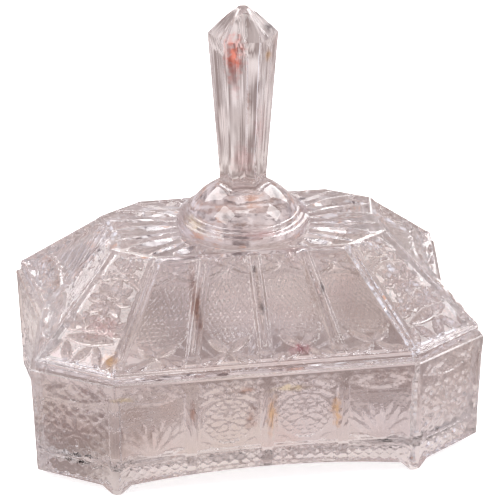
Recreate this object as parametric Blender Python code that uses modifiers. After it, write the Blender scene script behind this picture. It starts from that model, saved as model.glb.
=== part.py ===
"""Covered butter dish of pressed clear glass: a ten-cornered dish, a hipped lid and a tall handle.

Metres, +Z up. The origin is on the table under the middle of the dish, +X runs along
the long side and -Y is the front. The lid and its handle hang on one empty, lid_lift,
whose Z axis is the line along which the lid is lifted off.
"""

import math

import bmesh
import bpy
from mathutils import Matrix, Vector

# Plan of the dish at its rim. Half sizes, from the middle of the dish.
HALF_LENGTH = 0.0910      # to the end corners
HALF_WIDTH = 0.0625       # to the long front and back walls
HALF_FRONT = 0.0605       # half of the straight front wall
HALF_END = 0.0435         # half of the short end wall
NOTCH = 0.0065            # how far the middle of an end wall is folded in

# Heights above the table
FOOT = 0.0031             # lower edge of the end and corner walls
ARCH = 0.0077             # lower edge in the middle of the front and back walls
UNDERSIDE = 0.0085        # bottom of the floor
FLOOR = 0.0125            # top of the floor
DISH_RIM = 0.0492
GAP = 0.0003              # between pieces that rest on each other
BAND = 0.0040             # upright band round the lower edge of the lid
PLATEAU = 0.0855          # flat top of the lid

# Plan of the flat top, half sizes in the same order as the rim's
TOP_LENGTH = 0.0560
TOP_WIDTH = 0.0270
TOP_FRONT = 0.0390
TOP_END = 0.0161
TOP_NOTCH = 0.0024

# Walls
LID_INSET = 0.0010        # the lid is this much smaller than the dish all round
LID_END_INSET = 0.0010    # and its ends are inset this much more
WALL = 0.0050
LID_WALL = 0.0048
TOP_WALL = 0.0042
SKIRT = 0.0026            # the lid's locating skirt reaches this far into the dish
SKIRT_GAP = 0.0005
SKIRT_WALL = 0.0025

# Cut panels, with the bars left standing between them
PANELS_ON_FRONT = 4
DISH_BAR = 0.0018         # half width of a bar
LID_BAR = 0.0016
PANEL_DEPTH = 0.0011
DISH_RIM_BAND = 0.0036    # plain band above the dish's panels
DISH_PLINTH = 0.0034      # plain band below them
LID_EDGE_BAND = 0.0018

# Corner feet
FOOT_TIP = 0.0022
FOOT_TOP = 0.0048
FOOT_SINK = 0.0050        # height of the foot, most of it inside the wall
FOOT_EDGE = 0.0003        # foot stands this far inside the walls

# Handle: a round boss, domed above a flange, with a six-sided grip that widens upwards
BOSS_RADIUS = 0.0268
FLANGE_TOP = 0.0891       # height of the flange's outer edge
DOME_RADIUS = 0.0220
DOME_BALL = 0.0261        # the dome is part of a ball with this radius
DOME_CENTRE = 0.0788      # height of that ball's middle
NECK_RADIUS = 0.0080      # the dome runs in to here, under the grip
SHOULDER = 0.1677
TIP = 0.1780
NECK_ACROSS = 0.0190      # across the grip's corners
SHOULDER_ACROSS = 0.0278
TIP_ACROSS = 0.0060
GRIP_SIDES = 6
GRIP_SINK = 0.0040        # the grip starts this far inside the dome
GRIP_TURN = -6.0          # degrees that the grip's front face is turned from -Y

DOME_STEPS = 8
TURN_STEPS = 48
ARCH_STEPS = 12

PARTS = "butter_dish"
CUTTERS = "butter_dish_cutters"


def clear_scene():
    for obj in list(bpy.data.objects):
        bpy.data.objects.remove(obj, do_unlink=True)


def collection(name):
    made = bpy.data.collections.new(name)
    bpy.context.scene.collection.children.link(made)
    return made


def glass(name, colour, roughness):
    """Clear glass with a faint tint."""
    material = bpy.data.materials.new(name)
    material.use_nodes = True
    shader = material.node_tree.nodes["Principled BSDF"]
    shader.inputs["Base Color"].default_value = (*colour, 1.0)
    shader.inputs["Roughness"].default_value = roughness
    shader.inputs["Metallic"].default_value = 0.0
    shader.inputs["Transmission Weight"].default_value = 1.0
    shader.inputs["IOR"].default_value = 1.52
    return material


def plan(half_length, half_width, half_front, half_end, notch):
    """Ten corners, anticlockwise from the left end of the front."""
    right = [
        (half_front, -half_width),
        (half_length, -half_end),
        (half_length - notch, 0.0),
        (half_length, half_end),
        (half_front, half_width),
    ]
    left = [(-x, -y) for x, y in right]
    return [Vector(left[-1])] + [Vector(p) for p in right] + [Vector(p) for p in left[:-1]]


def inset(outline, distance):
    """The outline moved inwards by the same distance along every side."""
    count = len(outline)
    moved = []
    for i, corner in enumerate(outline):
        before = (corner - outline[i - 1]).normalized()
        after = (outline[(i + 1) % count] - corner).normalized()
        inward = Vector((-before.y - after.y, before.x + after.x))
        moved.append(corner + inward * (distance / (1.0 + before.dot(after))))
    return moved


def mesh_object(name, bm):
    """A mesh object from a bmesh, with its faces pointing out."""
    bmesh.ops.recalc_face_normals(bm, faces=bm.faces)
    mesh = bpy.data.meshes.new(name)
    bm.to_mesh(mesh)
    bm.free()
    obj = bpy.data.objects.new(name, mesh)
    bpy.context.scene.collection.objects.link(obj)
    return obj


def slab(name, outline, low, high):
    """A flat outline given thickness from the height low to the height high."""
    curve = bpy.data.curves.new(name, "CURVE")
    curve.dimensions = "2D"
    curve.fill_mode = "BOTH"
    curve.extrude = (high - low) / 2
    spline = curve.splines.new("POLY")
    spline.points.add(len(outline) - 1)
    for point, corner in zip(spline.points, outline):
        point.co = (corner.x, corner.y, 0.0, 1.0)
    spline.use_cyclic_u = True
    drawn = bpy.data.objects.new(name + "_outline", curve)
    bpy.context.scene.collection.objects.link(drawn)
    drawn.location.z = (low + high) / 2
    bpy.context.view_layer.update()
    evaluated = drawn.evaluated_get(bpy.context.evaluated_depsgraph_get())
    bm = bmesh.new()
    bm.from_mesh(bpy.data.meshes.new_from_object(evaluated))
    bmesh.ops.remove_doubles(bm, verts=bm.verts, dist=0.00001)
    bmesh.ops.transform(bm, matrix=drawn.matrix_world, verts=bm.verts)
    bpy.data.objects.remove(drawn, do_unlink=True)
    return mesh_object(name, bm)


def loft(name, sections):
    """A closed solid through outlines with equal numbers of corners, each at its height."""
    bm = bmesh.new()
    rings = [[bm.verts.new((p.x, p.y, z)) for p in outline] for outline, z in sections]
    count = len(rings[0])
    for lower, upper in zip(rings, rings[1:]):
        for i in range(count):
            j = (i + 1) % count
            bm.faces.new((lower[i], lower[j], upper[j], upper[i]))
    bm.faces.new(rings[0])
    bm.faces.new(rings[-1])
    return mesh_object(name, bm)


def panel_blocks(name, faces, bar, low_band, high_band, depth):
    """One block over each four-cornered face, for cutting a panel that leaves bars round it.

    The corners of a face run anticlockwise as seen from outside, its lower edge first.
    """
    bm = bmesh.new()
    for corners in faces:
        lower_left, lower_right, upper_right, upper_left = corners
        along = (lower_right - lower_left).normalized()
        normal = along.cross(upper_left - lower_left).normalized()
        up = normal.cross(along)
        flat = [Vector(((p - lower_left).dot(along), (p - lower_left).dot(up))) for p in corners]
        flat[0].y += low_band - bar
        flat[1].y += low_band - bar
        flat[2].y -= high_band - bar
        flat[3].y -= high_band - bar
        base = lower_left - normal * depth
        ring = [bm.verts.new(base + along * p.x + up * p.y) for p in inset(flat, bar)]
        grown = bmesh.ops.extrude_face_region(bm, geom=[bm.faces.new(ring)])["geom"]
        new_verts = [item for item in grown if isinstance(item, bmesh.types.BMVert)]
        bmesh.ops.translate(bm, verts=new_verts, vec=normal * (2 * depth))
    return mesh_object(name, bm)


def boolean(target, cutter, operation):
    """Adds a Boolean modifier and turns the other object into a hidden cutter."""
    modifier = target.modifiers.new(cutter.name, "BOOLEAN")
    modifier.operation = operation
    modifier.object = cutter
    cutter.hide_render = True
    cutter.display_type = "WIRE"
    move_to(cutter, bpy.data.collections[CUTTERS])


def move_to(obj, target):
    for owner in list(obj.users_collection):
        owner.objects.unlink(obj)
    target.objects.link(obj)


def finish(obj, material):
    obj.data.materials.clear()
    obj.data.materials.append(material)
    move_to(obj, bpy.data.collections[PARTS])


def wall_faces(lower, low, upper, high):
    """Four-cornered faces between two plans, the long sides divided into panels."""
    faces = []
    count = len(lower)
    for i in range(count):
        j = (i + 1) % count
        long_side = abs(lower[i].y - lower[j].y) < 1e-6
        parts = PANELS_ON_FRONT if long_side else 1
        for k in range(parts):
            start, end = k / parts, (k + 1) / parts
            faces.append((
                lower[i].lerp(lower[j], start).to_3d() + Vector((0, 0, low)),
                lower[i].lerp(lower[j], end).to_3d() + Vector((0, 0, low)),
                upper[i].lerp(upper[j], end).to_3d() + Vector((0, 0, high)),
                upper[i].lerp(upper[j], start).to_3d() + Vector((0, 0, high)),
            ))
    return faces


def rim_plan():
    return plan(HALF_LENGTH, HALF_WIDTH, HALF_FRONT, HALF_END, NOTCH)


def lid_plan():
    """The lid's outline at its rim."""
    return inset(plan(HALF_LENGTH - LID_END_INSET, HALF_WIDTH, HALF_FRONT, HALF_END, NOTCH), LID_INSET)


def top_plan():
    return plan(TOP_LENGTH, TOP_WIDTH, TOP_FRONT, TOP_END, TOP_NOTCH)


def arch_outline():
    """Side view of the shallow arch under the front and back walls, in X and Z."""
    clear = HALF_FRONT - FOOT_TOP
    steps = [2 * i / ARCH_STEPS - 1 for i in range(ARCH_STEPS + 1)]
    curve = [Vector((clear * s, FOOT + (ARCH - FOOT) * (1 - s * s))) for s in reversed(steps)]
    return [Vector((-clear, 0.0)), Vector((clear, 0.0))] + curve


def make_dish(material):
    """The lower dish: walls with cut panels, a raised floor, shallow arches and four feet."""
    rim = rim_plan()
    dish = slab("base_dish", rim, FOOT, DISH_RIM)
    boolean(dish, slab("dish_well", inset(rim, WALL), FLOOR, DISH_RIM + WALL), "DIFFERENCE")
    boolean(dish, slab("dish_underside", inset(rim, WALL + 0.001), 0.0, UNDERSIDE), "DIFFERENCE")

    arch = slab("dish_arch", arch_outline(), -2 * HALF_WIDTH, 2 * HALF_WIDTH)
    arch.matrix_world = Matrix.Rotation(math.radians(90), 4, "X")
    boolean(dish, arch, "DIFFERENCE")

    walls = wall_faces(rim, ARCH, rim, DISH_RIM)
    panels = panel_blocks("dish_panels", walls, DISH_BAR, DISH_PLINTH, DISH_RIM_BAND, PANEL_DEPTH)
    boolean(dish, panels, "DIFFERENCE")

    foot_places = inset(rim, FOOT_TOP + FOOT_EDGE)
    for i, name in zip((0, 1, 5, 6), ("front_left", "front_right", "back_right", "back_left")):
        bm = bmesh.new()
        bmesh.ops.create_cone(
            bm, cap_ends=True, segments=8, radius1=FOOT_TIP, radius2=FOOT_TOP, depth=FOOT_SINK
        )
        place = foot_places[i].to_3d() + Vector((0, 0, FOOT_SINK / 2))
        bmesh.ops.translate(bm, verts=bm.verts, vec=place)
        boolean(dish, mesh_object("dish_foot_" + name, bm), "UNION")
    finish(dish, material)
    return dish


def make_lid(material):
    """The lid: an upright band, hipped sides with cut panels, a flat top and a locating skirt."""
    rim = lid_plan()
    top = top_plan()
    low = DISH_RIM + GAP
    lid = loft("lid", [(rim, low), (rim, low + BAND), (top, PLATEAU)])

    skirt_outer = inset(rim_plan(), WALL + SKIRT_GAP)
    skirt = slab("lid_skirt", skirt_outer, DISH_RIM - SKIRT, low + BAND / 2)
    boolean(lid, skirt, "UNION")

    mouth = inset(skirt_outer, SKIRT_WALL)
    hollow_top = inset(top, LID_WALL * 0.6)
    hollow = loft("lid_hollow", [
        (mouth, DISH_RIM - 2 * SKIRT),
        (mouth, low + BAND / 2),
        (hollow_top, PLATEAU - TOP_WALL),
    ])
    boolean(lid, hollow, "DIFFERENCE")

    slopes = wall_faces(rim, low + BAND, top, PLATEAU)
    panels = panel_blocks("lid_panels", slopes, LID_BAR, LID_EDGE_BAND, LID_EDGE_BAND, PANEL_DEPTH)
    boolean(lid, panels, "DIFFERENCE")
    finish(lid, material)
    return lid


def dome_height(radius):
    return DOME_CENTRE + math.sqrt(DOME_BALL**2 - radius**2)


def boss_profile():
    """Half section of the boss, from the middle of its top down its outer side."""
    foot = PLATEAU + GAP
    points = [(0.0, dome_height(NECK_RADIUS))]
    for i in range(DOME_STEPS + 1):
        radius = NECK_RADIUS + (DOME_RADIUS - NECK_RADIUS) * i / DOME_STEPS
        points.append((radius, dome_height(radius)))
    points += [(BOSS_RADIUS, FLANGE_TOP), (BOSS_RADIUS, foot), (0.0, foot)]
    return points


def make_handle(material):
    """The handle: a turned boss, and a six-sided grip that widens up to a faceted point."""
    bm = bmesh.new()
    verts = [bm.verts.new((x, 0.0, z)) for x, z in boss_profile()]
    for first, second in zip(verts, verts[1:]):
        bm.edges.new((first, second))
    mesh = bpy.data.meshes.new("handle")
    bm.to_mesh(mesh)
    bm.free()
    handle = bpy.data.objects.new("handle", mesh)
    bpy.context.scene.collection.objects.link(handle)
    turn = handle.modifiers.new("turn", "SCREW")
    turn.steps = TURN_STEPS
    turn.render_steps = TURN_STEPS
    turn.use_merge_vertices = True
    turn.merge_threshold = 0.00001

    sunk = dome_height(NECK_RADIUS) - GRIP_SINK
    bm = bmesh.new()
    face_turn = Matrix.Rotation(math.radians(GRIP_TURN + 90), 4, "Z")
    for low, high, low_across, high_across in (
        (sunk, SHOULDER, NECK_ACROSS, SHOULDER_ACROSS),
        (SHOULDER, TIP, SHOULDER_ACROSS, TIP_ACROSS),
    ):
        bmesh.ops.create_cone(
            bm,
            cap_ends=False,
            segments=GRIP_SIDES,
            radius1=low_across / 2,
            radius2=high_across / 2,
            depth=high - low,
            matrix=Matrix.Translation((0, 0, (low + high) / 2)) @ face_turn,
        )
    bmesh.ops.remove_doubles(bm, verts=bm.verts, dist=0.00001)
    bmesh.ops.holes_fill(bm, edges=bm.edges, sides=GRIP_SIDES)
    boolean(handle, mesh_object("handle_grip", bm), "UNION")
    finish(handle, material)
    return handle


def hang_on_lift(pieces):
    """Parents the pieces that lift off together to an empty on the line of lift."""
    lift = bpy.data.objects.new("lid_lift", None)
    lift.location = (0.0, 0.0, DISH_RIM)
    bpy.data.collections[PARTS].objects.link(lift)
    bpy.context.view_layer.update()
    for piece in pieces:
        piece.parent = lift
        piece.matrix_parent_inverse = lift.matrix_world.inverted()


def main():
    clear_scene()
    collection(PARTS)
    collection(CUTTERS)
    make_dish(glass("dish_glass", (0.93, 0.90, 0.90), 0.04))
    lid = make_lid(glass("lid_glass", (0.94, 0.91, 0.91), 0.04))
    handle = make_handle(glass("handle_glass", (0.95, 0.93, 0.93), 0.03))
    hang_on_lift([lid, handle])


main()
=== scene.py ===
"""Looks of the pressed glass butter dish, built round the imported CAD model.

Each piece is one closed body of glass, made as a stack of rings that all have the same
number of points: the rings run over the outside, round the rim and back along the inside.
The cut pattern is real relief, a depth below the CAD's outer faces that formulas work out.
Lengths are millimetres, until a mesh or an object is made from them.
"""

import math

import bpy
import numpy as np
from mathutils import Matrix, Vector


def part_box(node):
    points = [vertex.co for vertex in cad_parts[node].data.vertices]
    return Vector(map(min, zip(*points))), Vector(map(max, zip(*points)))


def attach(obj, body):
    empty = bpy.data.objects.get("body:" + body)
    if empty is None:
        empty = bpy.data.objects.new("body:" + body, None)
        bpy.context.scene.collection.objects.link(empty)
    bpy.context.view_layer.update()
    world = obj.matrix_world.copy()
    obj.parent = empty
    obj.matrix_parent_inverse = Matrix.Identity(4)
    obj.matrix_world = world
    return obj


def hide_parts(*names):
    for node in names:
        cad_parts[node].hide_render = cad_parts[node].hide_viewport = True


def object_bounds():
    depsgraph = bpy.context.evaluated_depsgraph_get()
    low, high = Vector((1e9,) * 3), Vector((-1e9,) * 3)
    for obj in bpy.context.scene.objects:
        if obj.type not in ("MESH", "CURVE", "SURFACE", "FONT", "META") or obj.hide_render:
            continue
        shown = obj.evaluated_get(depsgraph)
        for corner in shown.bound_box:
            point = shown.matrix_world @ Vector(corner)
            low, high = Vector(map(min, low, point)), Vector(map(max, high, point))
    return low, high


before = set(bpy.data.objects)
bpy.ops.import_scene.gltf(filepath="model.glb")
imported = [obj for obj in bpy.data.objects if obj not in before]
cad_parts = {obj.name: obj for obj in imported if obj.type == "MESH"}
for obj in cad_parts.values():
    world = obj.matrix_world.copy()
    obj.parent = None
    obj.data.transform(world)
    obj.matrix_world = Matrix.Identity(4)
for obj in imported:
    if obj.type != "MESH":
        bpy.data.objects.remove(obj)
CAD_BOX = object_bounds()

MM = 0.001

DISH_LOW, DISH_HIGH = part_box("base_dish")
LID_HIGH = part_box("lid")[1]
HANDLE_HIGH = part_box("handle")[1]

# The CAD's plans: half sizes to the end corners and to the long walls, half of a long
# wall, half of an end wall, and how far the middle of an end is folded in.
RIM = (DISH_HIGH.x / MM, DISH_HIGH.y / MM, 60.5, 43.5, 6.5)
# The dish's foot is 1 mm shorter than its rim at each end. The lid's rim is that plan, inset.
HEM = (RIM[0] - 1.0, *RIM[1:])
LID_RIM = HEM
TOP = (56.0, 27.0, 39.0, 16.1, 2.4)

# Heights above the table
DISH_RIM = DISH_HIGH.z / MM
PLATEAU = LID_HIGH.z / MM
LID_SEAT = DISH_RIM + 0.3
FOOT = 3.1
ARCH = 7.7
UNDERSIDE = 8.5
FLOOR = 12.5

# Thicknesses, insets and the heights of parts
BAND = 4.0
SKIRT = 2.6
WALL = 5.0
LID_INSET = 1.0
SKIRT_INSET = 5.5
SKIRT_WALL = 2.5
CEILING_DROP = 4.2
FLOOR_BEND = 3.0
EDGE = 0.5

# Cuts. A pattern's depths are for full strength, and CUT_STRENGTH is the share that is cut.
PANEL_DEPTH = 1.2
CUT_STRENGTH = 0.72
# An edge that turns by more degrees than this stays sharp.
SHARP_CUT = 36
SHARP_FACET = 20


# ---------------------------------------------------------------- plans and rings


def plan(half_length, half_width, half_front, half_end, notch):
    """Ten corners, anticlockwise from the left end of the front."""
    right = [
        (half_front, -half_width),
        (half_length, -half_end),
        (half_length - notch, 0.0),
        (half_length, half_end),
        (half_front, half_width),
    ]
    left = [(-x, -y) for x, y in right]
    return np.array([left[-1]] + right + left[:-1])


def inset(outline, distance):
    """The outline moved inwards by the same distance along every side."""
    before = outline - np.roll(outline, 1, axis=0)
    after = np.roll(outline, -1, axis=0) - outline
    before /= np.linalg.norm(before, axis=1)[:, None]
    after /= np.linalg.norm(after, axis=1)[:, None]
    inward = np.stack([-before[:, 1] - after[:, 1], before[:, 0] + after[:, 0]], axis=1)
    share = distance / (1.0 + (before * after).sum(axis=1))
    return outline + inward * share[:, None]


# What lies between each corner of a plan and the next, and how many panels it has
SIDES = ["front", "corner", "end", "end", "corner"] * 2
PANELS = {"front": 4, "corner": 1, "end": 1}
CROWDING = 0.05


class Around:
    """The points round a ring: the panel that each lies in, and where across it."""

    def __init__(self, steps):
        side, along, panel, across = [], [], [], []
        for i, kind in enumerate(SIDES):
            for k in range(PANELS[kind]):
                number = panel[-1] + 1 if panel else 0
                for s in range(steps[kind]):
                    # The points are closer together near the edges of a panel.
                    t = s / steps[kind]
                    t -= CROWDING * math.sin(2 * math.pi * t)
                    side.append(i)
                    along.append((k + t) / PANELS[kind])
                    panel.append(number)
                    across.append(t)
        self.side = np.array(side)
        self.along = np.array(along)
        self.panel = np.array(panel)
        self.across = np.array(across)
        self.count = len(side)

    def ring(self, outline):
        """The ring's points on an outline."""
        start = outline[self.side]
        end = outline[(self.side + 1) % len(outline)]
        return start + (end - start) * self.along[:, None]

    def level(self, outline, z):
        """A ring on an outline at one height, or at a height for each point."""
        return np.column_stack([self.ring(outline), np.broadcast_to(z, self.count)])


def solid_of_rings(name, rings, smooth_angle):
    """A closed mesh through rings of points, with a flat cap at each end of the stack.

    The first ring is the middle of the inside or of the top, and the outside runs downwards.
    """
    rings = np.asarray(rings)
    rows, count, _ = rings.shape
    mesh = bpy.data.meshes.new(name)
    here = np.arange(rows * count).reshape(rows, count)
    ahead = np.roll(here, -1, axis=1)
    quads = np.stack([here[:-1], here[1:], ahead[1:], ahead[:-1]], axis=-1).reshape(-1, 4)
    loops = np.concatenate([quads.ravel(), here[0], here[-1][::-1]])
    starts = np.append(np.arange(len(quads)) * 4, [len(quads) * 4, len(quads) * 4 + count])
    totals = np.append(np.full(len(quads), 4), [count, count])
    mesh.vertices.add(rows * count)
    mesh.vertices.foreach_set("co", (rings * MM).astype(np.float32).ravel())
    mesh.loops.add(len(loops))
    mesh.loops.foreach_set("vertex_index", loops.astype(np.int32))
    mesh.polygons.add(len(starts))
    mesh.polygons.foreach_set("loop_start", starts.astype(np.int32))
    mesh.polygons.foreach_set("loop_total", totals.astype(np.int32))
    mesh.update(calc_edges=True)
    mesh.shade_smooth()
    mesh.set_sharp_from_angle(angle=math.radians(smooth_angle))
    obj = bpy.data.objects.new(name, mesh)
    bpy.context.scene.collection.objects.link(obj)
    return obj


# ---------------------------------------------------------------- cuts, as depths


def ramp(value, low, high):
    """0 below low, 1 above high, straight between."""
    return np.clip((value - low) / (high - low), 0.0, 1.0)


def groove(off, width, depth):
    """A mitre groove where off is zero."""
    return depth * np.clip(1.0 - 2 * np.abs(off) / width, 0.0, 1.0)


def leaf(x, y, cx, cy, angle, length, width, depth):
    """A pointed mitre cut, widest and deepest in its middle."""
    c, s = math.cos(math.radians(angle)), math.sin(math.radians(angle))
    along = ((x - cx) * c + (y - cy) * s) / (length / 2)
    across = np.abs(-(x - cx) * s + (y - cy) * c)
    swell = np.clip(1.0 - along**2, 0.0, 1.0)
    return depth * swell * np.clip(1.0 - across / np.maximum(width / 2 * swell, 1e-6), 0.0, 1.0)


def rays(x, y, cx, cy, angles, inner, reach, width, depth):
    """Leaf cuts that all point at one place, from inner to reach away from it."""
    cut = np.zeros_like(x)
    mid = (inner + reach) / 2
    for angle in angles:
        px = cx + mid * math.cos(math.radians(angle))
        py = cy + mid * math.sin(math.radians(angle))
        cut = np.maximum(cut, leaf(x, y, px, py, angle, reach - inner, width, depth))
    return cut


def star(x, y, cx, cy, points, reach, width, depth):
    """Rays all round a place, the first one upwards."""
    angles = [90.0 + 360.0 * i / points for i in range(points)]
    return rays(x, y, cx, cy, angles, 0.0, reach, width, depth)


def fan(x, y, cx, cy, blades, spread, inner, reach, width, depth, middle=90.0):
    """Rays spread evenly about a middle direction."""
    angles = [middle + spread * (i / (blades - 1) - 0.5) for i in range(blades)]
    return rays(x, y, cx, cy, angles, inner, reach, width, depth)


def oval(x, y, cx, cy, rx, ry, width, depth):
    """A mitre groove round an ellipse."""
    r = np.hypot((x - cx) / rx, (y - cy) / ry)
    return groove((r - 1.0) * (rx + ry) / 2, width, depth)


def lattice(x, y, pitch, width, depth):
    """Two sets of slanting mitre grooves, which leave diamonds between them."""
    one = groove((x + y) % pitch - pitch / 2, width, depth)
    other = groove((x - y) % pitch - pitch / 2, width, depth)
    return np.maximum(one, other)


def pebbles(x, y, pitch, depth):
    """Round studs of uneven height in staggered rows, as the depth of the ground between them."""
    stud = np.zeros_like(x)
    for shift in (0.0, 0.5):
        column, u = np.divmod(x / pitch + shift, 1.0)
        row, v = np.divmod(y / (pitch * 1.732) + shift, 1.0)
        # A scramble of the stud's row and column, the same on every run
        scramble = np.modf(np.abs(np.sin(column * 12.99 + row * 78.23 + shift) * 437.5))[0]
        height = 0.55 + 0.45 * scramble
        round_top = np.clip(1.0 - (2 * u - 1) ** 2 - 3 * (2 * v - 1) ** 2, 0.0, 1.0)
        stud = np.maximum(stud, height * np.sqrt(round_top))
    return depth * (1.0 - stud)


def deepest(*cuts):
    """What is left when several cuts are made in the same place."""
    return np.maximum.reduce(cuts)


# ---------------------------------------------------------------- panels of the lid


def bars(to_side, y, tall, half_bar, foot):
    """Panel floor between bars that end in a rounded foot and carry a slit on their line."""
    off_bar = np.hypot(to_side, np.maximum(foot - y, 0.0))
    shoulder = 0.3 * ramp(off_bar, half_bar * 0.4, half_bar) ** 2
    drop = (PANEL_DEPTH - 0.3) * ramp(off_bar, half_bar, half_bar + 0.9)
    floor = (shoulder + drop) * ramp(y, 0.7, 1.7)
    along = np.clip(np.minimum(y - foot + 1.0, tall - 2.0 - y) / 4.0, 0.0, 1.0)
    return np.maximum(floor, groove(to_side, 1.7, 1.1) * along)


def lid_front(x, y, tall, half):
    """Stippled shield over a crossed star, between two bars."""
    to_side = half - np.abs(x)
    off = np.abs(x)
    body = np.hypot(x / (half - 2.6), np.minimum(y - 18.5, 0.0) / 9.0)
    head = 39.0 - 3.5 * (x / half) ** 2
    inside = ramp(1.0 - body, 0.0, 0.08) * ramp(head - y, 0.0, 1.0)
    studs = inside * (0.15 + pebbles(x, y, 2.0, 0.4))
    cuts = deepest(
        leaf(off, y, 4.0, 9.4, 36, 11.0, 3.8, 2.3),
        leaf(off, y, 4.4, 3.8, -33, 10.5, 3.2, 2.0),
        leaf(off, y, 9.8, 3.3, -16, 8.5, 2.2, 1.5),
        leaf(off, y, 4.6, 40.6, -22, 10.0, 2.8, 1.8),
        leaf(off, y, 3.2, 44.0, 24, 7.5, 2.6, 1.7),
        fan(-to_side, y, 0.0, 0.6, 5, 130, 1.4, 6.4, 1.7, 1.4),
    )
    return bars(to_side, y, tall, 1.9, 7.0) + np.maximum(studs, cuts * ramp(to_side, 1.9, 2.8))


def lid_corner(x, y, tall, half):
    """An arch over a star, two shells and a crescent, with crossed cuts along the foot."""
    to_side = half - np.abs(x)
    off = np.abs(x)
    arch = 41.5 - 5.5 * (x / half) ** 2
    chain = [leaf(x, y, k * 6.6, 6.2, 60 * (-1) ** (k % 2), 11.5, 3.4, 2.2) for k in range(-2, 3)]
    cuts = deepest(
        groove(y - arch, 1.7, 1.5),
        groove(y - arch - 2.4, 1.3, 1.2),
        star(x, y, 0.0, 31.0, 8, 9.4, 4.2, 2.5),
        fan(off, y, 6.0, 15.5, 5, 120, 1.2, 9.6, 3.4, 2.2, middle=84.0),
        leaf(x, y, 0.0, 13.2, 5, 22.0, 5.0, 2.6),
        fan(x, y, 0.0, tall + 1.0, 5, 90, 1.0, 9.0, 2.4, 1.8, middle=-90.0),
        *chain,
    )
    return bars(to_side, y, tall, 1.8, 2.5) + cuts * ramp(to_side, 1.6, 2.6)


def lid_end(x, y, tall, half):
    """Slanting flutes over a fan of broad cuts."""
    to_side = half - np.abs(x)
    slant = (x * 0.80 + (y - tall * 0.5) * 0.60) / 4.2
    flutes = 2.0 * (1.0 - np.abs(2.0 * (slant % 1.0) - 1.0))
    border = 15.5 - 0.012 * x**2
    cuts = deepest(
        flutes * ramp(y - border, 0.0, 1.2) * ramp(tall - y, 1.2, 2.2),
        groove(y - border, 1.4, 1.4),
        fan(x, y, 0.0, 1.0, 9, 150, 2.0, 14.0, 3.4, 2.0),
        fan(np.abs(x), y, 14.0, 1.0, 5, 110, 1.5, 9.0, 2.4, 1.7),
    )
    return bars(to_side, y, tall, 1.4, 1.0) + cuts * ramp(to_side, 1.4, 2.6)


def lid_panel(kind, order):
    """All the panels of a kind are the same on the lid."""
    return {"front": lid_front, "corner": lid_corner, "end": lid_end}[kind]


# ---------------------------------------------------------------- panels of the dish

PLINTH = 9.0


def dish_frame(x, y, tall, half):
    """Ribs, a swag cut under the rim, and a plinth with small diamonds."""
    to_side = half - np.abs(x)
    hang = 1.0 - (x / half) ** 2
    swag = tall - 4.2 - 5.6 * hang
    off_rib = ramp(to_side, 1.4, 2.4)
    inside = ramp(to_side, 1.9, 2.8) * ramp(swag - y, 0.0, 0.8) * ramp(y, PLINTH, PLINTH + 0.8)
    floor = inside * (PANEL_DEPTH + pebbles(x, y, 2.6, 0.35))
    crescent = groove(y - swag, 0.6 + 2.4 * hang, 2.6) * np.sqrt(hang.clip(0.0, 1.0))
    crescent = crescent * ramp(to_side, 1.2, 2.4)
    spray = leaf(np.abs(x), y, half * 0.42, tall - 4.6, -20, half * 0.75, 2.8, 2.0)
    above = ramp(y - swag, 1.2, 2.2) * ramp(tall - y, 0.8, 1.6) * off_rib
    fine_net = lattice(x, y, half / 3.0, 2.0, 1.0) * above
    below = ramp(PLINTH - 0.6 - y, 0.0, 1.0)
    diamonds = lattice(x, y, half / 3.5, 3.2, 1.7) * below * ramp(y, 0.4, 1.2) * off_rib
    slit = groove(to_side, 0.9, 0.35) * ramp(y, PLINTH - 4.0, PLINTH) * ramp(tall - y, 3.0, 7.0)
    ledge = groove(y - PLINTH, 1.2, 0.9) * off_rib
    return deepest(floor, crescent, diamonds, ledge, slit, spray, fine_net)


def dish_star(x, y, tall, half):
    """A hobstar in an oval net of diamonds, with an upright slit at each side."""
    off = np.abs(x)
    cy = 21.5
    rx, ry = half - 4.6, 9.2
    r = np.hypot(x / rx, (y - cy) / ry)
    net = lattice(x, y - cy, 3.9, 2.9, 1.3) * ramp(1.0 - r, 0.02, 0.08) * ramp(r, 0.5, 0.58)
    return dish_frame(x, y, tall, half) + deepest(
        net,
        star(x, y, 0.0, cy, 8, 6.6, 2.9, 2.0),
        oval(x, y, 0.0, cy, rx, ry, 1.8, 1.7),
        leaf(off, y, half - 3.0, cy, 90, 19.0, 2.0, 1.6),
        leaf(off, y, half - 7.0, cy + 10.2, -28, 9.0, 2.4, 1.6),
        leaf(off, y, half - 7.0, cy - 10.0, 28, 8.0, 2.2, 1.5),
    )


def dish_fan(x, y, tall, half):
    """Broad leaves that spray up from the foot of the panel."""
    off = np.abs(x)
    foot = 10.5
    return dish_frame(x, y, tall, half) + deepest(
        rays(x, y, 0.0, foot, (40, 65, 90, 115, 140), 2.0, 18.0, 4.0, 2.2),
        rays(x, y, 0.0, foot, (52, 77, 103, 128), 10.0, 19.5, 2.0, 1.7),
        leaf(off, y, 7.4, 12.2, 8, 12.5, 2.6, 1.7),
        leaf(off, y, half - 3.6, 24.5, 80, 9.5, 2.6, 1.7),
    )


def dish_corner(x, y, tall, half):
    """A large star over a net of diamonds, under a chevron."""
    to_side = half - np.abs(x)
    cy = 20.5
    inside = ramp(to_side, 2.6, 3.4) * ramp(tall - 11.5 - y, 0.0, 1.0)
    inside = inside * ramp(y, PLINTH + 1, PLINTH + 2)
    return dish_frame(x, y, tall, half) + deepest(
        lattice(x, y - cy, 5.4, 3.2, 1.4) * inside,
        star(x, y, 0.0, cy, 8, 10.5, 3.6, 2.3),
        leaf(np.abs(x), y, 8.4, cy + 11.6, 26, 14.0, 2.4, 1.6) * ramp(to_side, 1.4, 2.4),
    )


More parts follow.
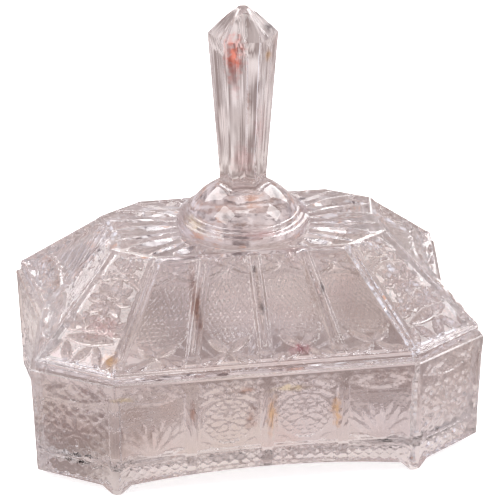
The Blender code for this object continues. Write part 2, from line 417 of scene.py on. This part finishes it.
def dish_end(x, y, tall, half):
    """Two sprays of leaves side by side."""
    off = np.abs(x)
    return dish_frame(x, y, tall, half) + ramp(half - off, 1.4, 2.4) * deepest(
        fan(off, y, half * 0.5, 11.0, 6, 125, 2.0, 15.5, 3.3, 2.1),
        leaf(x, y, 0.0, 22.0, 90, 22.0, 3.4, 2.2),
        leaf(off, y, half * 0.5, 30.0, 0, 12.0, 2.4, 1.6),
    )


def dish_panel(kind, order):
    """The outer two panels of a long wall have leaves, the inner two a star."""
    if kind == "front":
        return dish_fan if order in (0, 3) else dish_star
    return dish_corner if kind == "corner" else dish_end


# ---------------------------------------------------------------- relief on lofted walls


def relief(around, low, low_z, high, high_z, rows, pattern_of):
    """Rings up the wall between two plans, pushed in along each face by its pattern.

    low_z may differ from point to point. pattern_of(kind, order) gives a panel's pattern.
    """
    foot = around.level(low, low_z)
    head = around.level(high, high_z)
    points = foot + (head - foot) * rows[:, None, None]

    along = np.column_stack([np.roll(low, -1, axis=0) - low, np.zeros(len(low))])
    up = np.column_stack([high - low, np.full(len(low), high_z - np.min(low_z))])
    face_normals = np.cross(along, up)
    face_normals /= np.linalg.norm(face_normals, axis=1)[:, None]
    normal = face_normals[around.side]
    on_corner = around.along == 0.0
    normal[on_corner] += face_normals[(around.side[on_corner] - 1) % len(low)]
    normal /= np.linalg.norm(normal, axis=1)[:, None]

    depth = np.zeros(points.shape[:2])
    for number in range(around.panel[-1] + 1):
        members = np.where(around.panel == number)[0]
        first, following = members[0], (members[-1] + 1) % around.count
        kind = SIDES[around.side[first]]
        order = round(around.along[first] * PANELS[kind])
        width = np.linalg.norm(points[:, following, :2] - points[:, first, :2], axis=1)
        tall = np.linalg.norm((head[following] + head[first] - foot[following] - foot[first]) / 2)
        x = (around.across[members] - 0.5) * width[:, None]
        y = np.broadcast_to((rows * tall)[:, None], x.shape)
        half = np.broadcast_to(width[:, None] / 2, x.shape)
        depth[:, members] = pattern_of(kind, order)(x, y, tall, half)
    ends = CUT_STRENGTH * ramp(np.minimum(rows, 1.0 - rows), 0.0, 0.015)
    return points - normal * (depth * ends[:, None])[..., None]


# ---------------------------------------------------------------- the three pieces


def make_dish():
    """The lower dish, with arches under its long walls and a star of ribs under its floor."""
    around = Around({"front": 54, "corner": 52, "end": 56})
    rim, low = plan(*RIM), plan(*HEM)
    edge = around.ring(low)
    on_long_side = np.isin(SIDES, "front")[around.side]
    arch = np.where(on_long_side, (ARCH - FOOT) * (1 - (edge[:, 0] / HEM[2]) ** 2), 0.0)
    feet = low[[0, 1, 5, 6]]
    to_foot = np.min(np.linalg.norm(edge[:, None] - feet, axis=2), axis=1)
    hem = (FOOT + arch) * ramp(to_foot, 1.8, 6.0)

    spoke_count = 32
    under = around.ring(inset(low, WALL + 1.0))
    angle = np.arctan2(under[:, 1], under[:, 0])
    off_spoke = np.abs((angle / (2 * math.pi) * spoke_count) % 1.0 - 0.5)
    spokes = np.clip(1.0 - 3.0 * off_spoke, 0.0, 1.0)
    rings = []
    for share in np.linspace(0.05, 1.0, 14):
        lift = 1.5 * spokes * math.sin(math.pi * min(1.0, share / 0.9))
        rings.append(np.column_stack([under * share, UNDERSIDE + lift]))
    rings.append(around.level(inset(low, WALL + 0.6), np.minimum(hem + EDGE, UNDERSIDE)))
    rings.append(around.level(inset(low, WALL), hem))
    rings.append(around.level(inset(low, EDGE), hem))
    rows = np.linspace(0.0, 1.0, 76)
    rings += list(relief(around, low, hem + 0.4, rim, DISH_RIM - EDGE, rows, dish_panel))
    rings.append(around.level(inset(rim, EDGE), DISH_RIM))
    rings.append(around.level(inset(rim, WALL - EDGE), DISH_RIM))
    for z in np.linspace(DISH_RIM - EDGE, FLOOR + FLOOR_BEND, 4):
        rings.append(around.level(inset(rim, WALL), z))
    for turn in np.radians((30, 60, 90)):
        inwards = FLOOR_BEND * (1 - math.cos(turn))
        drop = FLOOR_BEND * math.sin(turn)
        rings.append(around.level(inset(rim, WALL + inwards), FLOOR + FLOOR_BEND - drop))
    rings.append(around.level(inset(rim, WALL + FLOOR_BEND) * 0.5, FLOOR))
    return solid_of_rings("cut_glass_dish", rings[::-1], SHARP_CUT)


def plateau_cut(xy, reach):
    """Broad and narrow leaf cuts by turns that point at the boss, on the flat top of the lid."""
    leaf_count, inner = 18, 28.0
    outer = reach - 1.2
    r = np.linalg.norm(xy, axis=1)
    angle = np.arctan2(xy[:, 1], xy[:, 0])
    cut = np.zeros(len(r))
    for start, width, depth in ((0.0, 5.2, 2.2), (0.5, 2.2, 1.4)):
        off = (angle * leaf_count / (2 * math.pi) + start + 0.5) % 1.0 - 0.5
        off = off * 2 * math.pi / leaf_count
        long_enough = ramp(outer - inner, 2.0, 6.0)
        middle, half = (inner + outer) / 2, np.maximum((outer - inner) / 2, 0.1)
        swell = np.clip(1.0 - ((r - middle) / half) ** 2, 0.0, 1.0)
        across = np.abs(r * np.sin(off))
        mitre = np.clip(1.0 - across / np.maximum(width / 2 * swell, 1e-6), 0.0, 1.0)
        cut = np.maximum(cut, depth * swell * mitre * long_enough)
    return cut


def make_lid():
    """The hollow lid, from its plateau over the slopes and the band to the skirt and ceiling."""
    around = Around({"front": 60, "corner": 46, "end": 44})
    rim = inset(plan(*LID_RIM), LID_INSET)
    top = plan(*TOP)
    skirt = inset(plan(*RIM), SKIRT_INSET)
    mouth = inset(skirt, SKIRT_WALL)
    ceiling = inset(top, 2.9)
    ceiling_z = PLATEAU - CEILING_DROP
    hem = DISH_RIM - SKIRT
    rings = [
        around.level(ceiling * 0.4, ceiling_z),
        around.level(inset(ceiling, 1.5), ceiling_z),
    ]
    for share in (0.02, 0.35, 0.7, 1.0):
        z = (ceiling_z - 0.5) * (1 - share) + (LID_SEAT + BAND / 2) * share
        rings.append(around.level(ceiling * (1 - share) + mouth * share, z))
    for outline, z in (
        (mouth, hem + 0.4),
        (inset(skirt, SKIRT_WALL - 0.4), hem),
        (inset(skirt, 0.4), hem),
        (skirt, hem + 0.4),
        (skirt, LID_SEAT),
        (inset(rim, 0.5), LID_SEAT),
        (rim, LID_SEAT + 0.5),
        (rim, LID_SEAT + 1.7),
        (inset(rim, 0.7), LID_SEAT + 2.1),
        (rim, LID_SEAT + 2.5),
        (rim, LID_SEAT + 3.2),
        (inset(rim, 0.5), LID_SEAT + 3.6),
    ):
        rings.append(around.level(outline, z))
    # The crossed cuts are near the foot of the slope, so the rows are closer there.
    share = np.linspace(0.0, 1.0, 82)
    rows = 0.6 * share + 0.4 * share**2
    rings += list(relief(around, rim, LID_SEAT + BAND, top, PLATEAU - 0.3, rows, lid_panel))
    edge = around.ring(top)
    reach = np.linalg.norm(edge, axis=1)
    inner = edge * (np.minimum(reach - 0.3, 26.5) / reach)[:, None]
    for share in np.linspace(0.0, 1.0, 18)[1:]:
        xy = edge * (1 - share) + inner * share
        rings.append(np.column_stack([xy, PLATEAU - plateau_cut(xy, reach)]))
    rings.append(np.column_stack([inner * 0.6, np.full(around.count, PLATEAU)]))
    return solid_of_rings("cut_glass_lid", rings[::-1], SHARP_CUT)


def make_handle():
    """Boss and grip in one stack of rings. The six flats flare out into the round dome."""
    sides, turn = 6, math.radians(-96.0)
    # The boss is bonded to the lid, so its foot just enters the plateau.
    foot, tip = PLATEAU - 0.05, HANDLE_HIGH.z / MM
    boss, flange_top, dome_edge = 26.8, 89.1, 22.0
    ball, centre = 26.1, 78.8
    to_flat = math.cos(math.pi / sides)
    neck, shoulder, crown = 9.5 * to_flat, 13.9 * to_flat, 3.0 * to_flat
    shoulder_z, flare_z = 167.7, 108.2
    flare_out, flare_down, flare_bow = 5.6, 7.3, 0.40
    crown_bevel = 0.35
    count = 360
    phi = turn + math.pi / sides + np.arange(count) * 2 * math.pi / count
    local = (phi - turn + math.pi / sides) % (2 * math.pi / sides) - math.pi / sides
    spread = 1.0 / np.cos(local)
    # The flats are a little hollow, with faint draw lines along the grip.
    hollow = np.cos(local * sides / 2) ** 2
    lines = sum(np.sin(phi * waves + waves) / waves for waves in (13, 21, 34, 55)) * 10
    ray = np.column_stack([np.cos(phi), np.sin(phi)])

    def ring(radius, z):
        return np.column_stack([ray * np.broadcast_to(radius, count)[:, None], np.broadcast_to(z, count)])

    def facet(flat, z, dip=0.0, ripple=0.0):
        return ring(flat * spread - dip * hollow + ripple * lines * hollow, z)

    rings = [ring(0.4, tip), facet(crown * 0.85, tip), facet(crown, tip - crown_bevel)]
    for share in np.linspace(0.0, 1.0, 12)[1:]:
        flat = crown + (shoulder - crown) * share**0.88
        z = tip - crown_bevel + (shoulder_z - tip + crown_bevel) * share
        arc = math.sin(math.pi * share)
        rings.append(facet(flat, z, 0.3 * arc, 0.2 * arc))
    for share in np.linspace(0.0, 1.0, 34)[1:]:
        flat = shoulder + (neck - shoulder) * share
        z = shoulder_z + (flare_z - shoulder_z) * share
        fade = min(1.0, share * 12, (1 - share) * 8 + 0.25)
        rings.append(facet(flat, z, 0.5 * fade, 0.26 * fade))
    # The flare follows the edge of a grinding wheel, and stops where it meets the dome.
    sweep = np.linspace(0.0, math.pi / 2, 200)
    flare_flat = neck + flare_out * (1 - np.cos(sweep))
    flare_height = flare_z - flare_down * np.sin(sweep) ** flare_bow
    radius = flare_flat[:, None] * spread
    dome = centre + np.sqrt(np.maximum(ball**2 - radius**2, 0.0))
    meets = np.argmax(flare_height[:, None] <= dome, axis=0)
    meets[meets == 0] = len(sweep) - 1
    meet_radius = radius[meets, np.arange(count)]
    for share in np.linspace(0.0, 1.0, 14)[1:] ** 1.5:
        at = sweep[meets] * share
        flat = neck + flare_out * (1 - np.cos(at))
        z = flare_z - flare_down * np.sin(at) ** flare_bow
        rings.append(facet(flat, z, 0.11 * (1 - share)))
    # A bead runs along the scallops where the flare meets the dome.
    bead = 0.45
    for away in (0.2, 0.9):
        r = meet_radius + away
        rings.append(ring(r, centre + np.sqrt(ball**2 - r**2) + bead))
    for share in np.linspace(0.0, 1.0, 16):
        r = (meet_radius + 1.5) * (1 - share) + dome_edge * share
        rings.append(ring(r, centre + np.sqrt(ball**2 - r**2)))
    step = centre + math.sqrt(ball**2 - dome_edge**2)
    rings.append(ring(dome_edge + 0.5, step - 0.1))
    rings.append(ring(dome_edge + 0.9, step - 0.7))
    rings.append(ring(dome_edge + 0.9, step - 1.3))
    for i in range(2):
        r = dome_edge + 1.1 + i * 1.7
        z = step - 1.7 - i * 1.0
        rings.append(ring(r + 0.2, z))
        rings.append(ring(r + 1.3, z - 0.2))
    rings.append(ring(boss - 0.3, flange_top - 0.5))
    rings.append(ring(boss, flange_top - 1.0))
    rings.append(ring(boss, foot + 0.5))
    rings.append(ring(boss - 0.4, foot))
    rings.append(ring(boss * 0.5, foot))
    return solid_of_rings("cut_glass_handle", rings, SHARP_FACET)


# ---------------------------------------------------------------- material

GLASS_IOR = 1.50
WAVINESS = 0.12
WAVE_HEIGHT = 0.4


def noise(tree, vector, scale, detail):
    """Clouds, as a value."""
    node = tree.nodes.new("ShaderNodeTexNoise")
    node.inputs["Scale"].default_value = scale
    node.inputs["Detail"].default_value = detail
    tree.links.new(vector, node.inputs["Vector"])
    return node.outputs["Fac"]


def remap(tree, value, low, high, out_low, out_high):
    """A range of values moved to another range, and held at its ends."""
    node = tree.nodes.new("ShaderNodeMapRange")
    for name, number in {"From Min": low, "From Max": high, "To Min": out_low, "To Max": out_high}.items():
        node.inputs[name].default_value = number
    tree.links.new(value, node.inputs["Value"])
    return node.outputs["Result"]


def blend_colour(tree, factor, first, second):
    """Mixes two colours, each a tuple or another node's output."""
    node = tree.nodes.new("ShaderNodeMix")
    node.data_type = "RGBA"
    tree.links.new(factor, node.inputs["Factor"])
    for socket, colour in ((node.inputs[6], first), (node.inputs[7], second)):
        if isinstance(colour, tuple):
            socket.default_value = (*colour, 1.0)
        else:
            tree.links.new(colour, socket)
    return node.outputs[2]


def with_painted_reflections(tree, place, tint, painted_reflection_patches):
    """The tint with painted reflections: local patches of other colours, which have ragged edges."""
    ragged = remap(tree, noise(tree, place, 450.0, 2.0), 0.3, 0.7, -0.4, 0.4)
    for centre, radii, colour in painted_reflection_patches:
        around = tree.nodes.new("ShaderNodeMapping")
        around.inputs["Scale"].default_value = [1.0 / (r * MM) for r in radii]
        around.inputs["Location"].default_value = [-c / r for c, r in zip(centre, radii)]
        tree.links.new(place, around.inputs["Vector"])
        away = tree.nodes.new("ShaderNodeVectorMath")
        away.operation = "LENGTH"
        tree.links.new(around.outputs["Vector"], away.inputs[0])
        edge = tree.nodes.new("ShaderNodeMath")
        tree.links.new(away.outputs["Value"], edge.inputs[0])
        tree.links.new(ragged, edge.inputs[1])
        share = remap(tree, edge.outputs["Value"], 1.2, 0.2, 0.0, 0.95)
        # Each patch is a painted reflection, blended into the tint.
        tint = blend_colour(tree, share, tint, colour)
    return tint


def glass(name, tints, roughness, stretch, painted_reflection_patches):
    """Tinted glass: clouds of three tints, painted reflections as local patches, and a slightly wavy
    polish.
    """
    material = bpy.data.materials.new(name)
    material.use_nodes = True
    tree = material.node_tree
    shader = tree.nodes["Principled BSDF"]
    shader.inputs["Transmission Weight"].default_value = 1.0
    shader.inputs["IOR"].default_value = GLASS_IOR
    place = tree.nodes.new("ShaderNodeTexCoord").outputs["Object"]

    cloud = remap(tree, noise(tree, place, 24.0, 2.0), 0.35, 0.65, 0.0, 1.0)
    patch = remap(tree, noise(tree, place, 60.0, 1.0), 0.55, 0.70, 0.0, 1.0)
    tint = blend_colour(tree, patch, blend_colour(tree, cloud, *tints[:2]), tints[2])
    # The base colour carries the painted reflections.
    tree.links.new(with_painted_reflections(tree, place, tint, painted_reflection_patches), shader.inputs["Base Color"])

    polish = remap(tree, noise(tree, place, 400.0, 2.0), 0.35, 0.75, roughness, roughness * 3.0)
    tree.links.new(polish, shader.inputs["Roughness"])

    squash = tree.nodes.new("ShaderNodeMapping")
    squash.inputs["Scale"].default_value = stretch
    tree.links.new(place, squash.inputs["Vector"])
    bump = tree.nodes.new("ShaderNodeBump")
    bump.inputs["Strength"].default_value = WAVINESS
    bump.inputs["Distance"].default_value = WAVE_HEIGHT * MM
    tree.links.new(noise(tree, squash.outputs["Vector"], 150.0, 2.0), bump.inputs["Height"])
    tree.links.new(bump.outputs["Normal"], shader.inputs["Normal"])
    return material


# ---------------------------------------------------------------- stage, light and camera

ROOM_LOW = (0.70, 0.63, 0.63)
ROOM_HIGH = (0.78, 0.75, 0.79)
ROOM_SIDE = (1.00, 1.01, 1.12)
ROOM_LIGHT = (1.15, 1.12, 1.16)
ROOM_DIM = (0.14, 0.10, 0.11)
ROOM_WARM = (0.75, 0.38, 0.22)
FLOOR_LIGHT = (0.91, 0.83, 0.82)
FLOOR_DIM = (0.35, 0.28, 0.27)

# The lens, the aim to the right and the lit height are in millimetres, the distance is in
# metres and the angles are in degrees. AIM_HEIGHT is a share of the object's height.
CAMERA_LENS = 158.7
CAMERA_AZIMUTH = -9.0
CAMERA_ELEVATION = 26.5
CAMERA_DISTANCE = 0.901
AIM_RIGHT = 2.8
AIM_HEIGHT = 0.408
LIT_HEIGHT = 60.0


def path_split(tree, seen, bent):
    """One shader for what the camera sees directly, another for every other ray."""
    path = tree.nodes.new("ShaderNodeLightPath")
    mix = tree.nodes.new("ShaderNodeMixShader")
    tree.links.new(path.outputs["Is Camera Ray"], mix.inputs["Fac"])
    tree.links.new(bent, mix.inputs[1])
    tree.links.new(seen, mix.inputs[2])
    return mix.outputs["Shader"]


def make_floor():
    """White to the camera. Through the glass and in reflections it has a patchy mid tone."""
    material = bpy.data.materials.new("floor_white")
    material.use_nodes = True
    tree = material.node_tree
    shader = tree.nodes["Principled BSDF"]
    shader.inputs["Base Color"].default_value = (0.92, 0.92, 0.92, 1.0)
    shader.inputs["Roughness"].default_value = 0.9
    shader.inputs["Emission Color"].default_value = (1.0, 1.0, 1.0, 1.0)
    shader.inputs["Emission Strength"].default_value = 0.62
    place = tree.nodes.new("ShaderNodeTexCoord").outputs["Object"]
    glow = tree.nodes.new("ShaderNodeEmission")
    cloud = remap(tree, noise(tree, place, 9.0, 2.0), 0.42, 0.58, 0.0, 1.0)
    tree.links.new(blend_colour(tree, cloud, FLOOR_DIM, FLOOR_LIGHT), glow.inputs["Color"])
    surface = path_split(tree, shader.outputs["BSDF"], glow.outputs["Emission"])
    tree.links.new(surface, tree.nodes["Material Output"].inputs["Surface"])
    bpy.ops.mesh.primitive_plane_add(size=30.0, location=(0, 0, DISH_LOW.z))
    floor = bpy.context.object
    floor.name = "floor"
    floor.data.materials.append(material)


def from_middle(azimuth, elevation):
    """The direction from the object to a place, azimuth 0 in front and 90 at its right."""
    a, e = math.radians(azimuth), math.radians(elevation)
    return Vector((math.sin(a) * math.cos(e), -math.cos(a) * math.cos(e), math.sin(e)))


def soft_box(name, azimuth, elevation, distance, size, power):
    """An area light that faces the object. It shows in reflections and not through the glass."""
    data = bpy.data.lights.new(name, "AREA")
    data.shape = "RECTANGLE"
    data.size, data.size_y = size
    data.energy = power
    lamp = bpy.data.objects.new(name, data)
    lamp.visible_transmission = False
    back = from_middle(azimuth, elevation)
    lamp.location = Vector((0, 0, LIT_HEIGHT * MM)) + back * distance
    lamp.rotation_mode = "QUATERNION"
    lamp.rotation_quaternion = back.to_track_quat("Z", "Y")
    bpy.context.scene.collection.objects.link(lamp)


def make_world():
    """White to the camera. The glass shows a soft room with light, dim and warm patches."""
    world = bpy.data.worlds.new("studio")
    bpy.context.scene.world = world
    world.use_nodes = True
    tree = world.node_tree
    tree.nodes.clear()
    out = tree.nodes.new("ShaderNodeOutputWorld")
    room = tree.nodes.new("ShaderNodeBackground")
    direction = tree.nodes.new("ShaderNodeTexCoord").outputs["Generated"]
    split = tree.nodes.new("ShaderNodeSeparateXYZ")
    tree.links.new(direction, split.inputs["Vector"])
    height = remap(tree, split.outputs["Z"], 0.0, 0.9, 0.0, 1.0)
    sky = blend_colour(tree, height, ROOM_LOW, ROOM_HIGH)
    sideways = tree.nodes.new("ShaderNodeMath")
    sideways.operation = "ABSOLUTE"
    tree.links.new(split.outputs["X"], sideways.inputs[0])
    side = remap(tree, sideways.outputs["Value"], 0.35, 0.85, 0.0, 1.0)
    sky = blend_colour(tree, side, sky, ROOM_SIDE)
    light = remap(tree, noise(tree, direction, 3.0, 4.0), 0.50, 0.62, 0.0, 1.0)
    sky = blend_colour(tree, light, sky, ROOM_LIGHT)
    aside = tree.nodes.new("ShaderNodeMapping")
    aside.inputs["Location"].default_value = (3.0, 5.0, 1.0)
    tree.links.new(direction, aside.inputs["Vector"])
    dim = remap(tree, noise(tree, aside.outputs["Vector"], 5.0, 4.0), 0.53, 0.62, 0.0, 1.0)
    sky = blend_colour(tree, dim, sky, ROOM_DIM)
    warm = remap(tree, noise(tree, direction, 5.5, 0.0), 0.66, 0.72, 0.0, 0.8)
    sky = blend_colour(tree, warm, sky, ROOM_WARM)
    tree.links.new(sky, room.inputs["Color"])
    white = tree.nodes.new("ShaderNodeBackground")
    white.inputs["Color"].default_value = (1, 1, 1, 1)
    surface = path_split(tree, white.outputs["Background"], room.outputs["Background"])
    tree.links.new(surface, out.inputs["Surface"])


def make_camera():
    """A long lens a little to the left of the front, looking down at the dish."""
    data = bpy.data.cameras.new("camera")
    data.sensor_width = 36.0
    data.lens = CAMERA_LENS
    camera = bpy.data.objects.new("camera", data)
    low, high = CAD_BOX
    target = Vector((AIM_RIGHT * MM, 0.0, low.z + (high.z - low.z) * AIM_HEIGHT))
    back = from_middle(CAMERA_AZIMUTH, CAMERA_ELEVATION)
    camera.location = target + back * CAMERA_DISTANCE
    camera.rotation_mode = "QUATERNION"
    camera.rotation_quaternion = back.to_track_quat("Z", "Y")
    bpy.context.scene.collection.objects.link(camera)
    bpy.context.scene.camera = camera


make_camera()
make_world()
make_floor()
# Azimuth and elevation in degrees, distance and size in metres, power in watts
soft_box("key", -70, 55, 1.2, (0.6, 0.5), 5.2)
soft_box("fill", 83, 42, 1.4, (0.5, 0.5), 5.0)
soft_box("front", -15, 72, 1.3, (0.5, 0.12), 1.2)
soft_box("back", 172, 47, 1.4, (1.1, 0.6), 9.0)
soft_box("back_left", 207, 44, 1.4, (0.8, 0.8), 11.0)
soft_box("back_right", 141, 31, 1.4, (0.8, 0.8), 11.0)


# ---------------------------------------------------------------- colours and assembly

# Tints of the glass: beige, mauve and rose
THIN_GLASS = ((0.945, 0.905, 0.88), (0.935, 0.90, 0.91), (0.935, 0.875, 0.865))
THICK_GLASS = ((0.875, 0.825, 0.79), (0.865, 0.825, 0.83), (0.865, 0.79, 0.77))
# Colours of the painted reflections in the glass, warm ones and dark ones
AMBER = (0.86, 0.47, 0.17)
GOLD = (0.88, 0.76, 0.42)
RED = (1.0, 0.10, 0.04)
PINK = (0.90, 0.62, 0.62)
MAROON = (0.55, 0.16, 0.22)
BROWN = (0.36, 0.19, 0.14)
DARK = (0.06, 0.04, 0.04)
# How the waves of the polish are scaled in x, y and z: drawn ones are long in z
EVEN = (1.0, 1.0, 1.0)
DRAWN = (1.6, 1.6, 0.06)

# Painted reflections: patches of colour, light and dark, painted into the glass where the photograph shows
# reflections of a room. Each has its middle and half sizes in millimetres, and its colour.
DISH_PAINTED_REFLECTIONS = (
    ((2.0, -62.0, 31.0), (2.6, 3.0, 8.0), AMBER),
    ((27.6, -62.0, 30.0), (2.2, 3.0, 7.5), AMBER),
    ((9.0, -62.0, 42.5), (8.0, 3.0, 1.5), GOLD),
    ((-56.0, -62.0, 43.0), (4.5, 3.0, 1.3), GOLD),
    ((-8.3, -62.0, 43.0), (5.0, 3.0, 1.3), BROWN),
    ((-6.5, -62.0, 30.0), (2.4, 3.0, 6.0), BROWN),
    ((-29.5, -62.0, 35.0), (1.6, 3.0, 5.5), BROWN),
)
LID_PAINTED_REFLECTIONS = (
    ((-60.6, -54.6, 56.5), (3.6, 4.0, 3.2), AMBER),
    ((13.6, -56.5, 56.5), (5.0, 4.0, 1.8), MAROON),
    ((-63.0, -43.0, 65.0), (8.0, 7.0, 3.5), PINK),
    ((-25.0, -41.0, 71.0), (1.7, 18.0, 16.0), BROWN),
    ((-0.7, -32.4, 80.0), (1.0, 3.0, 3.0), DARK),
    ((0.6, -44.0, 69.0), (0.9, 3.0, 2.5), DARK),
    ((25.5, -39.0, 73.5), (1.0, 3.0, 2.5), DARK),
)
HANDLE_PAINTED_REFLECTIONS = (
    ((-5.4, -11.0, 161.5), (4.3, 4.6, 10.5), RED),
    ((-4.6, -11.0, 150.0), (1.8, 3.0, 6.0), PINK),
    ((8.9, -6.5, 160.0), (2.8, 3.5, 2.8), AMBER),
    ((9.8, -2.8, 170.2), (2.6, 3.0, 2.4), DARK),
    ((0.5, -11.0, 141.0), (1.2, 3.0, 7.0), BROWN),
    ((6.5, -9.0, 129.0), (3.4, 5.0, 11.0), PINK),
    ((-1.3, -8.5, 117.0), (5.0, 4.0, 7.0), PINK),
    ((-20.9, -9.3, 91.0), (5.0, 9.0, 2.0), GOLD),
    ((4.0, -24.0, 91.0), (9.0, 4.0, 1.3), PINK),
)

PRESSED_POLISH = 0.015
FACET_POLISH = 0.010

dish_glass = glass("dish_glass", THICK_GLASS, PRESSED_POLISH, EVEN, DISH_PAINTED_REFLECTIONS)
lid_glass = glass("lid_glass", THIN_GLASS, PRESSED_POLISH, EVEN, LID_PAINTED_REFLECTIONS)
handle_glass = glass("handle_glass", THIN_GLASS, FACET_POLISH, DRAWN, HANDLE_PAINTED_REFLECTIONS)

for piece, node, body, slot, finish in (
    (make_dish(), "base_dish", "dish_body", "dish_glass", dish_glass),
    (make_lid(), "lid", "lid_body", "lid_glass", lid_glass),
    (make_handle(), "handle", "lid_body", "handle_glass", handle_glass),
):
    piece.data.materials.append(finish)
    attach(piece, body)
    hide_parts(node)

scene = bpy.context.scene
scene.view_settings.view_transform = "Standard"
scene.cycles.max_bounces = 24
scene.cycles.transmission_bounces = 24
scene.cycles.glossy_bounces = 12
